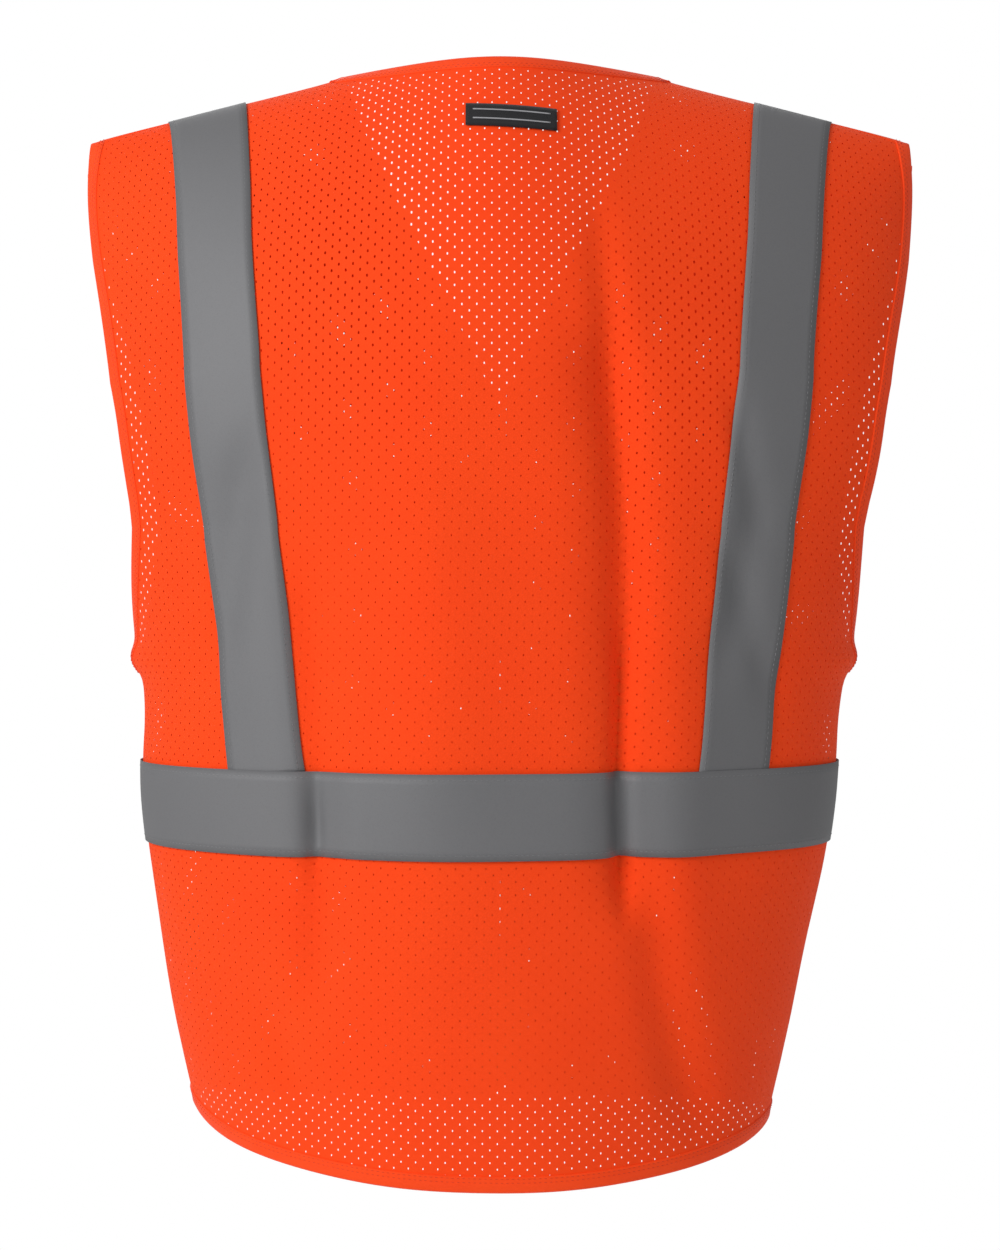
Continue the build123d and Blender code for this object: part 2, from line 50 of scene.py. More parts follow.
# High visibility vest in metres: +Z up, -Y the wearer's front, +X the wearer's left.
# A place on the cloth is a turn, its angle across the body in degrees (90 is the left side seam), and a
# fall from the shoulder line: 0 on the line, 1 where the cloth hangs upright, positive on the back.

# ---- body shape, as the frame has it ---------------------------------------------------
SHOULDER_HALF_WIDTH, WAIST_HALF_WIDTH, HEM_HALF_WIDTH = 0.266, 0.234, 0.193
HEM_HEIGHT, HEM_SIDE_RISE = -0.686, 0.019
FRONT_DEPTH, BACK_DEPTH = 0.125, 0.135
RIDGE_Y, SHOULDER_DROP = -0.005, 0.240
NECK_HALF_WIDTH, NECK_BACK_HEIGHT, NECK_POINT_HEIGHT = 0.100, -0.002, -0.189
ARMHOLE_BOTTOM, WIDEST_TURN, WIDEST_FALL, TIP_TURN = -0.376, 65.3, 0.9, 80.0
WAIST_TAPE_TOP, TAPE_WIDTH = -0.438, 0.0508
SHOULDER_TAPE_X, WAIST_TAPE_X = 0.191, 0.140
TIP_FLARE, TIP_FLARE_HEIGHT = 0.0055, 0.009
PLACKET_EDGE_X = 0.0050
NECK_POINT_X, NECK_CURVE = 0.0055, 1.15
CHEST_TAPER_TOP, CHEST_TAPER_RUN = -0.230, 0.190
HEM_TAPER_TOP, HEM_TAPER_POWER = -0.430, 1.7
DEEPEST_HEIGHT = -0.420
UPPER_DEPTH_LOSS, UPPER_DEPTH_RUN = 0.006, 0.200
LOWER_DEPTH_LOSS, LOWER_DEPTH_RUN = 0.012, 0.266
RIDGE_TOP, RIDGE_SLOPE, RIDGE_ROUNDING, RIDGE_BUMP = 0.0299, 0.2563, 0.060, 0.024
HEM_CORNER_RISE, HEM_CORNER_POWER = 0.010, 9
DRAWN_HEIGHTS = [-0.69, -0.62, -0.46, -0.29, -0.20, -0.12]
DRAWN_SHARES = [0.930, 0.932, 0.951, 0.955, 1.0, 1.012]
SWAY, SWAY_TOP, SWAY_RUN = 0.010, -0.20, 0.42

# ---- cloth -----------------------------------------------------------------------------
HOLE_PITCH, ROW_PITCH = 0.0088, 0.0039
HOLE_WIDTH, HOLE_HEIGHT = 0.00100, 0.0019
FRONT_HOLE_WIDTH, FRONT_HOLE_HEIGHT = 0.0008, 0.0014
TAPE_LIFT, TAPE_THICKNESS, WAIST_OVER_SHOULDER = 0.0012, 0.0004, 0.0006
BINDING_WIDTH, BINDING_THICKNESS = 0.0095, 0.0012
STITCH_STEP, EDGE_STITCH = 0.0032, 0.0012
EDGE_MARGIN, SIDE_MARGIN, HEM_MARGIN_SHARE = 0.003, 0.0048, 0.8
SEAM_OVERLAP_TURN, LAST_TURN = 91.0, 93.0
SEAM_TURN = 89.9
GRAIN_LEVEL, GRAIN_TOP, GRAIN_FOOT = -0.400, 0.445, -0.345
PANEL_LIFT = 0.0004
HOLE_RING = [(-0.5, -0.27), (0.0, -0.5), (0.5, -0.27), (0.5, 0.27), (0.0, 0.5), (-0.5, 0.27)]
STITCH_LENGTH, STITCH_WIDTH, STITCH_SINK, STITCH_RISE = 0.0021, 0.00042, 0.0002, 0.00028
STITCH_SHAPE = [(-0.5, 0, 0), (-0.28, -0.5, 0), (0.28, -0.5, 0), (0.5, 0, 0)]
STITCH_SHAPE += [(0.28, 0.5, 0), (-0.28, 0.5, 0), (-0.25, 0, 1), (0.25, 0, 1)]
STITCH_FACES = [(0, 1, 6), (1, 2, 7, 6), (2, 3, 7), (3, 4, 7), (4, 5, 6, 7), (5, 0, 6), (5, 4, 3, 2, 1, 0)]

# Creases of the back and the fronts: points (z, x) along the crease, its width and its depth.
REAR_CREASES = [
    ([(-0.16, -0.060), (-0.26, -0.072), (-0.43, -0.076), (-0.54, -0.078)], 0.020, 0.0075),
    ([(-0.34, -0.0745), (-0.45, -0.0725), (-0.54, -0.076)], 0.0060, 0.0075),
    ([(-0.06, -0.055), (-0.16, -0.064), (-0.30, -0.075), (-0.40, -0.077)], 0.010, 0.0050),
    ([(-0.42, 0.1125), (-0.46, 0.1115), (-0.52, 0.110)], 0.0050, 0.0050),
    ([(-0.19, -0.138), (-0.25, -0.148), (-0.31, -0.158)], 0.008, 0.0035),
    ([(-0.22, 0.150), (-0.30, 0.160), (-0.40, 0.172)], 0.012, 0.0035),
    ([(-0.56, 0.150), (-0.62, 0.128), (-0.67, 0.100)], 0.013, 0.0035),
    ([(-0.48, -0.086), (-0.57, -0.098), (-0.62, -0.110), (-0.68, -0.128)], 0.017, 0.0060),
    ([(-0.30, 0.118), (-0.43, 0.107), (-0.50, 0.104), (-0.60, 0.112)], 0.014, 0.0055),
    ([(-0.25, -0.160), (-0.33, -0.145), (-0.40, -0.128)], 0.011, 0.0040),
    ([(-0.28, -0.128), (-0.34, -0.148), (-0.42, -0.170)], 0.010, 0.0030),
]
FRONT_CREASES = [
    ([(-0.20, 0.070), (-0.43, 0.118), (-0.60, 0.126)], 0.020, 0.0045),
    ([(-0.18, -0.080), (-0.42, -0.122), (-0.62, -0.120)], 0.018, 0.0050),
]


def ease(share):
    share = np.clip(share, 0.0, 1.0)
    return share * share * (3 - 2 * share)


def hump(value, middle, width):
    """Bell curve of height 1."""
    return np.exp(-(((value - middle) / width) ** 2))


def drawn_in(z):
    """The worn cloth hangs a little narrower than the cut, most of all low down."""
    return np.interp(z, DRAWN_HEIGHTS, DRAWN_SHARES)


def sway(z):
    """The lower part hangs a little towards the wearer's left."""
    return SWAY * ease((SWAY_TOP - z) / SWAY_RUN)


def half_width(z):
    taper = ease((CHEST_TAPER_TOP - z) / CHEST_TAPER_RUN)
    upper = SHOULDER_HALF_WIDTH - (SHOULDER_HALF_WIDTH - WAIST_HALF_WIDTH) * taper
    below = np.clip((HEM_TAPER_TOP - z) / (HEM_TAPER_TOP - HEM_HEIGHT), 0, None)
    return upper - (WAIST_HALF_WIDTH - HEM_HALF_WIDTH) * below**HEM_TAPER_POWER


def half_depth(z, back):
    upper = BACK_DEPTH - UPPER_DEPTH_LOSS * ease((z - DEEPEST_HEIGHT) / UPPER_DEPTH_RUN)
    lower = BACK_DEPTH - LOWER_DEPTH_LOSS * ((DEEPEST_HEIGHT - z) / LOWER_DEPTH_RUN) ** 2
    return np.where(back, np.where(z > DEEPEST_HEIGHT, upper, lower), FRONT_DEPTH)


def ridge_height(x):
    """Height of the shoulder line, which falls away from the neck."""
    rounded = RIDGE_TOP - RIDGE_SLOPE * np.hypot(x, RIDGE_ROUNDING)
    return rounded + RIDGE_BUMP * np.exp(-((x / RIDGE_ROUNDING) ** 2))


def base(turn, fall):
    """Point of the undraped cloth at an angle across, in degrees, and a fall from the shoulder."""
    turn, fall = np.broadcast_arrays(np.asarray(turn, float), np.asarray(fall, float))
    across = np.sin(np.radians(turn))
    ridge = ridge_height(SHOULDER_HALF_WIDTH * across)
    angle = np.radians(90 * np.clip(fall, -1, 1))
    beyond = np.clip(np.abs(fall) - 1, 0, None)
    z = ridge - SHOULDER_DROP * (1 - np.cos(angle) + beyond)
    depth = half_depth(z, fall > 0) * np.cos(np.radians(turn))
    tip = TIP_FLARE * hump(z, ARMHOLE_BOTTOM + 0.003, TIP_FLARE_HEIGHT) * across**15
    x = half_width(z) * drawn_in(z) * across + sway(z) + tip
    return np.stack([x, RIDGE_Y + depth * np.sin(angle), z], axis=-1)


def normal(turn, fall):
    """Unit direction that points out of the body."""
    step = 0.02
    per_turn = base(turn + step * 20, fall) - base(turn - step * 20, fall)
    per_fall = base(turn, fall + step) - base(turn, fall - step)
    out = np.cross(per_turn, per_fall)
    return out / np.linalg.norm(out, axis=-1, keepdims=True)


def valley(x, z, points, width, depth):
    """Crease along a line of (z, x) points, deepest in its middle."""
    heights, places = zip(*sorted(points))
    middle = np.interp(z, heights, places)
    ends = ease((z - heights[0]) / 0.05) * ease((heights[-1] - z) / 0.05)
    return -depth * hump(x, middle, width) * ends


def drape(point, back):
    """How far the cloth stands out from the plain body shape."""
    x, z = point[..., 0], point[..., 2]
    low = ease((-0.05 - z) / 0.15)
    ripples = 0.0016 * np.sin(21 * x + 2.2 * np.sin(7 * z) + 0.6) * np.sin(9 * z + 1.1 + 6 * x)
    ripples += 0.0009 * np.sin(46 * x - 31 * z + 1.9) * np.sin(17 * z + 13 * x)
    rear = sum(valley(x, z, *crease) for crease in REAR_CREASES)
    rear += 0.0050 * hump(x, 0.045, 0.040) * hump(z, -0.42, 0.20)
    rear += 0.0030 * hump(x, -0.105, 0.022) * hump(z, -0.45, 0.12)
    fore = sum(valley(x, z, *crease) for crease in FRONT_CREASES)
    beside_zip = ease((np.abs(x) - 0.012) / 0.05)
    fore *= beside_zip
    ripples = ripples * np.where(back, 1.0, beside_zip)
    return low * (np.where(back, rear, fore) + ripples)


def cloth(turn, fall, lift=0.0):
    """Point of the draped cloth, a lift outwards from it."""
    point = base(turn, fall)
    seam = np.clip(np.abs(np.asarray(fall)) / 0.25, 0, 1)
    out = drape(point, np.asarray(fall) > 0) * seam + lift
    return point + normal(turn, fall) * out[..., None]


def fall_at(turn, z, back=True):
    below = (ridge_height(SHOULDER_HALF_WIDTH * np.sin(np.radians(turn))) - z) / SHOULDER_DROP
    fall = np.where(below > 1, below, np.degrees(np.arccos(np.clip(1 - below, -1, 1))) / 90)
    return fall if back else -fall


def turn_at(x, z):
    across = (x - sway(z)) / (half_width(z) * drawn_in(z))
    return np.degrees(np.arcsin(np.clip(across, -1, 1)))


def hem_height(x):
    """Height of the hem, which turns up towards the side seams."""
    share = np.abs(x) / HEM_HALF_WIDTH
    return HEM_HEIGHT + HEM_SIDE_RISE * share**2 + HEM_CORNER_RISE * np.clip(share, 0, 1) ** HEM_CORNER_POWER


LOWEST_FALL = float(fall_at(90.0, ARMHOLE_BOTTOM))


def armhole_turn(fall):
    """Turn of the armhole's edge at a fall; 90, the side seam, below the armhole."""
    fall = np.abs(fall)
    share = ease((fall - 0.3) / (WIDEST_FALL - 0.3))
    upper = TIP_TURN + (WIDEST_TURN - TIP_TURN) * share
    share = np.clip((LOWEST_FALL - fall) / (LOWEST_FALL - WIDEST_FALL), 0, 1)
    reach = math.cos(math.radians(WIDEST_TURN)) * np.sin(np.radians(90 * share)) ** 0.8
    return np.where(fall < WIDEST_FALL, upper, np.degrees(np.arccos(reach)))


# ---- mesh helpers ----------------------------------------------------------------------
def add_mesh(name, points, faces, material, smooth=True):
    mesh = bpy.data.meshes.new(name)
    mesh.from_pydata([tuple(p) for p in points], [], [tuple(f) for f in faces])
    mesh.validate()
    mesh.polygons.foreach_set("use_smooth", [smooth] * len(mesh.polygons))
    mesh.materials.append(material)
    mesh.update()
    piece = bpy.data.objects.new(name, mesh)
    bpy.context.scene.collection.objects.link(piece)
    return piece


def grid_faces(rows, columns, closed=False):
    faces = []
    for i in range(rows - 1):
        for j in range(columns - (0 if closed else 1)):
            k = (j + 1) % columns
            faces.append((i * columns + j, i * columns + k, (i + 1) * columns + k, (i + 1) * columns + j))
    return faces


sewn = {"shell": [], "left_front": [], "right_front": []}


def give(piece, body, nodes=(), fold=None):
    """Hang a piece on its body, or for a front half bake its place into its mesh and list it under that
    half.
    """
    if (fold or body) in sewn:
        sewn[fold or body].append(piece)
    if fold:
        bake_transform(piece)
    else:
        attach(piece, body)
    if nodes:
        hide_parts(*nodes)
    return piece


# ---- materials -------------------------------------------------------------------------
def new_material(name, roughness, sheen=0.0, metallic=0.0, sheen_tint=None):
    material = bpy.data.materials.new(name)
    material.use_nodes = True
    shader = material.node_tree.nodes["Principled BSDF"]
    shader.inputs["Roughness"].default_value = roughness
    shader.inputs["Metallic"].default_value = metallic
    shader.inputs["Sheen Weight"].default_value = sheen
    shader.inputs["Sheen Roughness"].default_value = 0.4
    if sheen_tint:
        shader.inputs["Sheen Tint"].default_value = (*sheen_tint, 1)
    return material, material.node_tree, shader


def object_coordinates(tree):
    return tree.nodes.new("ShaderNodeTexCoord").outputs["Object"]


def texture(tree, kind, scale, **settings):
    node = tree.nodes.new(kind)
    node.inputs["Scale"].default_value = scale
    for key, value in settings.items():
        if key in node.inputs:
            node.inputs[key].default_value = value
        else:
            setattr(node, key, value)
    tree.links.new(object_coordinates(tree), node.inputs["Vector"])
    return node


def colour_between(tree, shader, factor, first, second):
    mix = tree.nodes.new("ShaderNodeMix")
    mix.data_type = "RGBA"
    mix.inputs[6].default_value = (*first, 1)
    mix.inputs[7].default_value = (*second, 1)
    tree.links.new(factor, mix.inputs["Factor"])
    tree.links.new(mix.outputs[2], shader.inputs["Base Color"])


def bump(tree, shader, height, strength, distance):
    node = tree.nodes.new("ShaderNodeBump")
    node.inputs["Strength"].default_value = strength
    node.inputs["Distance"].default_value = distance
    tree.links.new(height, node.inputs["Height"])
    tree.links.new(node.outputs["Normal"], shader.inputs["Normal"])


def combine(tree, first, second, operation="ADD"):
    node = tree.nodes.new("ShaderNodeMath")
    node.operation = operation
    tree.links.new(first, node.inputs[0])
    tree.links.new(second, node.inputs[1])
    return node.outputs[0]


def knit_material(name, light, dark, rib_scale, strength):
    """Knitted cloth: fine level ribs crossed by fainter upright ones, with soft colour drift."""
    material, tree, shader = new_material(name, 0.80, sheen=0.10, sheen_tint=(1.0, 0.45, 0.2))
    shader.inputs["Specular IOR Level"].default_value = 0.25
    ribs = texture(tree, "ShaderNodeTexWave", rib_scale, Distortion=0.6, bands_direction="Z")
    cross = texture(tree, "ShaderNodeTexWave", rib_scale * 0.8, Distortion=0.8, bands_direction="X")
    drift = texture(tree, "ShaderNodeTexNoise", 14, Detail=3)
    colour_between(tree, shader, combine(tree, drift.outputs[0], ribs.outputs[1], "MULTIPLY"), dark, light)
    bump(tree, shader, combine(tree, ribs.outputs[1], cross.outputs[1]), strength, 0.0003)
    return material


def woven_material(name, light, dark, scale, roughness, sheen=0.15):
    material, tree, shader = new_material(name, roughness, sheen=sheen)
    shader.inputs["Specular IOR Level"].default_value = 0.25
    warp = texture(tree, "ShaderNodeTexWave", scale, bands_direction="X")
    weft = texture(tree, "ShaderNodeTexWave", scale, bands_direction="Z")
    drift = texture(tree, "ShaderNodeTexNoise", 30, Detail=4)
    weave = combine(tree, warp.outputs[1], weft.outputs[1], "MULTIPLY")
    colour_between(tree, shader, combine(tree, drift.outputs[0], weave), dark, light)
    bump(tree, shader, weave, 0.5, 0.0002)
    return material


def tape_material():
    """Glass bead tape: grey, fine grained, brighter where it faces the light."""
    material, tree, shader = new_material("reflective_tape", 0.60, metallic=0.12)
    beads = texture(tree, "ShaderNodeTexVoronoi", 2600)
    weave = texture(tree, "ShaderNodeTexNoise", 900, Detail=3)
    mixed = combine(tree, beads.outputs[0], weave.outputs[0])
    colour_between(tree, shader, mixed, (0.108, 0.108, 0.112), (0.150, 0.150, 0.156))
    bump(tree, shader, mixed, 0.25, 0.0001)
    return material


def plain_material(name, light, dark, roughness, metallic=0.0, grain=400, strength=0.15):
    material, tree, shader = new_material(name, roughness, metallic=metallic)
    noise = texture(tree, "ShaderNodeTexNoise", grain, Detail=6)
    colour_between(tree, shader, noise.outputs[0], dark, light)
    bump(tree, shader, noise.outputs[0], strength, 0.0002)
    return material


MESH_CLOTH = knit_material("orange_mesh", (1.00, 0.080, 0.002), (1.00, 0.052, 0.001), 820, 0.35)
BINDING_CLOTH = woven_material("orange_binding", (1.0, 0.070, 0.002), (0.96, 0.046, 0.001), 900, 0.65, 0.08)
POCKET_CLOTH = woven_material("orange_pocket", (1.0, 0.072, 0.002), (0.97, 0.050, 0.001), 700, 0.7, 0.08)
TAPE = tape_material()
THREAD = plain_material("grey_thread", (0.30, 0.30, 0.305), (0.16, 0.16, 0.165), 0.6, grain=2500)
ORANGE_THREAD = plain_material("orange_thread", (0.80, 0.040, 0.002), (0.50, 0.018, 0.001), 0.6, grain=2500)
BLACK_LABEL = woven_material("black_label", (0.016, 0.016, 0.018), (0.006, 0.006, 0.007), 1500, 0.6)
SILVER_THREAD = woven_material("silver_thread", (0.42, 0.42, 0.44), (0.2, 0.2, 0.21), 1800, 0.45)
WHITE_LABEL = woven_material("white_label", (0.78, 0.78, 0.76), (0.62, 0.62, 0.6), 1500, 0.7)
ZIP_CLOTH = woven_material("zip_tape", (0.95, 0.10, 0.008), (0.75, 0.05, 0.003), 1300, 0.7)
COIL_PLASTIC = plain_material("zip_plastic", (0.90, 0.10, 0.010), (0.75, 0.06, 0.006), 0.35, grain=900)
METAL = plain_material("zip_metal", (0.36, 0.36, 0.37), (0.24, 0.24, 0.25), 0.32, metallic=1.0, grain=700)


# ---- mesh panels with real holes -------------------------------------------------------
def grain_rows(back, turns, distances):
    """For each distance up from GRAIN_LEVEL: how far across each turn lies, and its fall."""
    falls = np.linspace(0.0, 3.05, 400) * (1 if back else -1)
    points = base(turns[None, :], falls[:, None])
    run = np.linalg.norm(np.diff(points, axis=0), axis=-1)
    run = np.vstack([np.zeros(len(turns)), np.cumsum(run, axis=0)])
    rows = []
    for d in distances:
        row = np.empty(len(turns))
        for k in range(len(turns)):
            level = np.interp(-GRAIN_LEVEL, -points[:, k, 2], run[:, k])
            row[k] = np.interp(level - d, run[:, k], falls) if level - d > 0 else np.nan
        line = base(turns, np.nan_to_num(row))
        u = np.concatenate([[0], np.cumsum(np.linalg.norm(np.diff(line, axis=0), axis=-1))])
        rows.append((u - np.interp(0, turns, u), row))
    return rows


def stretch(point):
    """How far the holes of the back are pulled open: most over the shoulder blades."""
    x, _, z = point
    blades = hump(x, 0.100, 0.070) * hump(z, -0.13, 0.13) + hump(x, -0.120, 0.060) * hump(z, -0.16, 0.13)
    return 0.68 + 0.52 * min(blades, 1.0) + 0.20 * hump(np.abs(x), 0.225, 0.03)


def perforated_panel(name, back, keep, first, last, hole_width, hole_height):
    """Panel of brick cells with an upright hole in each; keep says which cells the outline holds."""
    turns = np.linspace(-LAST_TURN, LAST_TURN, 187)
    distances = np.arange(GRAIN_FOOT, GRAIN_TOP, ROW_PITCH)
    table = grain_rows(back, turns, distances)
    half = HOLE_PITCH / 2
    places = np.arange(first, last, half)
    count = len(places)
    turn = np.empty((len(distances), count))
    fall = np.empty_like(turn)
    for j, (u, row) in enumerate(table):
        good = ~np.isnan(row)
        turn[j] = np.interp(places, u, turns)
        fall[j] = np.interp(places, u[good], row[good], left=np.nan, right=np.nan) if good.any() else np.nan
        outside = (places < u[0]) | (places > u[-1])
        fall[j, outside] = np.nan
    corner_ids = -np.ones(turn.shape, int)
    params, faces = [], []

    def corner(j, i):
        if corner_ids[j, i] < 0:
            corner_ids[j, i] = len(params)
            params.append((turn[j, i], fall[j, i]))
        return corner_ids[j, i]

    for j in range(len(distances) - 1):
        for i in range(j % 2, count - 2, 2):
            rim = [(j, i), (j, i + 1), (j, i + 2), (j + 1, i + 2), (j + 1, i + 1), (j + 1, i)]
            t = np.array([turn[r] for r in rim])
            f = np.array([fall[r] for r in rim])
            if np.isnan(f).any() or not keep(t.mean(), f.mean()):
                continue
            outer = [corner(*r) for r in rim]
            inner = []
            opened = stretch(base(t.mean(), f.mean())) if back else 1.0
            wide, tall = opened * hole_width / HOLE_PITCH, opened * hole_height / ROW_PITCH
            for across, up in HOLE_RING:
                a, b = 0.5 + across * wide, 0.5 + up * tall
                low_t, high_t = t[0] + (t[2] - t[0]) * a, t[5] + (t[3] - t[5]) * a
                low_f, high_f = f[0] + (f[2] - f[0]) * a, f[5] + (f[3] - f[5]) * a
                inner.append(len(params))
                params.append((low_t + (high_t - low_t) * b, low_f + (high_f - low_f) * b))
            for k in range(6):
                n = (k + 1) % 6
                faces.append((outer[k], outer[n], inner[n], inner[k]))
    params = np.array(params)
    points = cloth(params[:, 0], params[:, 1], PANEL_LIFT)
    if back:
        faces = [face[::-1] for face in faces]
    return add_mesh(name, points, faces, MESH_CLOTH)


def keep_side(turn, fall):
    """Inside the armhole, the side seam and the hem."""
    point = base(turn, fall)
    depth = half_depth(point[2], fall > 0)
    margin = np.degrees(EDGE_MARGIN / max(float(depth) * 0.9, 0.05))
    edge = armhole_turn(fall) - margin if abs(fall) < LOWEST_FALL else SEAM_OVERLAP_TURN
    if abs(turn) > edge:
        return False
    return abs(fall) > 0.006 and point[2] > hem_height(point[0]) + EDGE_MARGIN * HEM_MARGIN_SHARE


def keep_back(turn, fall):
    point = base(turn, fall)
    if abs(point[0]) < NECK_HALF_WIDTH + SIDE_MARGIN and point[2] > NECK_BACK_HEIGHT - EDGE_MARGIN:
        return False
    return keep_side(turn, fall)


def neckline_x(share):
    """Across distance of the front neckline at a share of its way down."""
    return NECK_POINT_X + (NECK_HALF_WIDTH - NECK_POINT_X) * (1 - share**NECK_CURVE)


def neck_front_x(z):
    """Across distance of the front neckline at a height."""
    return neckline_x(np.clip(z / NECK_POINT_HEIGHT, 0, 1))


def keep_front(hand):
    """Which cells one front half holds; hand is 1 for the wearer's left and -1 for the right."""
    def keep(turn, fall):
        point = base(turn, fall)
        x = hand * point[0]
        edge = neck_front_x(point[2]) if point[2] > NECK_POINT_HEIGHT else PLACKET_EDGE_X
        return x > edge + SIDE_MARGIN and keep_side(turn, fall)
    return keep


back_sheet = perforated_panel("back_mesh", True, keep_back, -0.40, 0.40, HOLE_WIDTH, HOLE_HEIGHT)
back_cloth = give(back_sheet, "shell", ["back_panel"])
for hand, word in ((1, "left"), (-1, "right")):
    span = (-0.03, 0.40) if hand == 1 else (-0.40, 0.03)
    hole = (FRONT_HOLE_WIDTH, FRONT_HOLE_HEIGHT)
    front_sheet = perforated_panel(f"{word}_front_mesh", False, keep_front(hand), *span, *hole)
    halves = [f"{word}_front_side", f"{word}_front_panel"]
    give(front_sheet, None, halves, f"{word}_front")

# ---- strips that follow the cloth ------------------------------------------------------
def slopes(turn, fall):
    step = 0.004
    per_turn = (base(turn + step, fall) - base(turn - step, fall)) / (2 * step)
    per_fall = (base(turn, fall + step) - base(turn, fall - step)) / (2 * step)
    return per_turn, per_fall


def beside(turn, fall, distance):
    """Places on the cloth at a distance to the left of a path of places."""
    line = base(turn, fall)
    ahead = np.gradient(line, axis=0)
    turn, fall = np.array(turn, float), np.array(fall, float)
    steps = 8
    for _ in range(steps):
        per_turn, per_fall = slopes(turn, fall)
        step = np.cross(np.cross(per_turn, per_fall), ahead)
        step *= distance / steps / np.linalg.norm(step, axis=-1, keepdims=True)
        tt, ff = (per_turn**2).sum(-1), (per_fall**2).sum(-1)
        tf = (per_turn * per_fall).sum(-1)
        st, sf = (step * per_turn).sum(-1), (step * per_fall).sum(-1)
        scale = tt * ff - tf * tf
        turn = turn + (st * ff - sf * tf) / scale
        fall = fall + (sf * tt - st * tf) / scale
    return turn, fall


def even_path(turn, fall, spacing):
    """The same path with its points a given distance apart."""
    line = cloth(turn, fall)
    run = np.concatenate([[0], np.cumsum(np.linalg.norm(np.diff(line, axis=0), axis=-1))])
    stops = np.linspace(0, run[-1], max(3, int(run[-1] / spacing) + 1))
    return np.interp(stops, run, turn), np.interp(stops, run, fall)


def sweep(name, path, profile, material, spacing=0.004):
    """Solid strip along a path; profile is its closed section as (distance beside, lift)."""
    turn, fall = even_path(*path, spacing)
    ring = [cloth(*beside(turn, fall, offset), lift) for offset, lift in profile]
    points = np.stack(ring, axis=1).reshape(-1, 3)
    count, size = len(turn), len(profile)
    faces = grid_faces(count, size, closed=True)
    faces.append(tuple(range(size))[::-1])
    faces.append(tuple(range((count - 1) * size, count * size)))
    return add_mesh(name, points, faces, material)


def tape_profile(first, last, lift=TAPE_LIFT, thickness=TAPE_THICKNESS):
    across = np.linspace(first, last, 9)
    top = [(offset, lift + thickness) for offset in across]
    return top + [(offset, lift) for offset in across[::-1]]


def binding_profile(hand):
    """Binding folded over the cloth's edge, its rolled rim at distance 0."""
    thick, wide = BINDING_THICKNESS, BINDING_WIDTH
    outer = [(wide, 0.0009), (wide - 0.0006, thick), (wide * 0.5, thick), (0.0012, thick * 1.25)]
    rim = [(0.0, thick), (-0.0007, 0.0002), (0.0, -thick * 0.8)]
    inner = [(0.0012, -thick), (wide * 0.5, -thick * 0.8), (wide - 0.0006, -thick * 0.8), (wide, -0.0004)]
    return [(hand * offset, lift) for offset, lift in outer + rim + inner]


def seam_profile(half):
    """Felled seam: low at its edges and a little proud in the middle."""
    top = [(half, 0.0007), (half * 0.4, 0.0011), (-half * 0.4, 0.0011), (-half, 0.0007)]
    return top + [(-half, -0.0003), (half, -0.0003)]


def stitch_row(name, runs, material):
    """Lock stitches along paths; each run is (path, distance beside, lift)."""
    points, faces = [], []
    for path, offset, lift in runs:
        turn, fall = even_path(*beside(*even_path(*path, 0.004), offset), STITCH_STEP)
        seat = cloth(turn, fall, lift - STITCH_SINK)
        top = cloth(turn, fall, lift + STITCH_RISE)
        ahead = np.gradient(seat, axis=0)
        ahead /= np.linalg.norm(ahead, axis=-1, keepdims=True)
        side = np.cross(ahead, top - seat)
        side /= np.linalg.norm(side, axis=-1, keepdims=True)
        for i in range(len(turn)):
            first = len(points)
            for along, spread, up in STITCH_SHAPE:
                place = seat[i] + ahead[i] * along * STITCH_LENGTH + side[i] * spread * STITCH_WIDTH
                points.append(place + (top[i] - seat[i]) * up)
            faces += [tuple(first + k for k in face) for face in STITCH_FACES]
    return add_mesh(name, points, faces, material)


def level_path(z, first, last, back, count=240):
    """Path level along the cloth between two turns, at a height or a function of x."""
    turn = np.linspace(first, last, count)
    height = z
    if callable(z):
        height = z(base(turn, 2.75)[..., 0])
        for _ in range(3):
            height = z(base(turn, fall_at(turn, height))[..., 0])
    return turn, fall_at(turn, height, back)


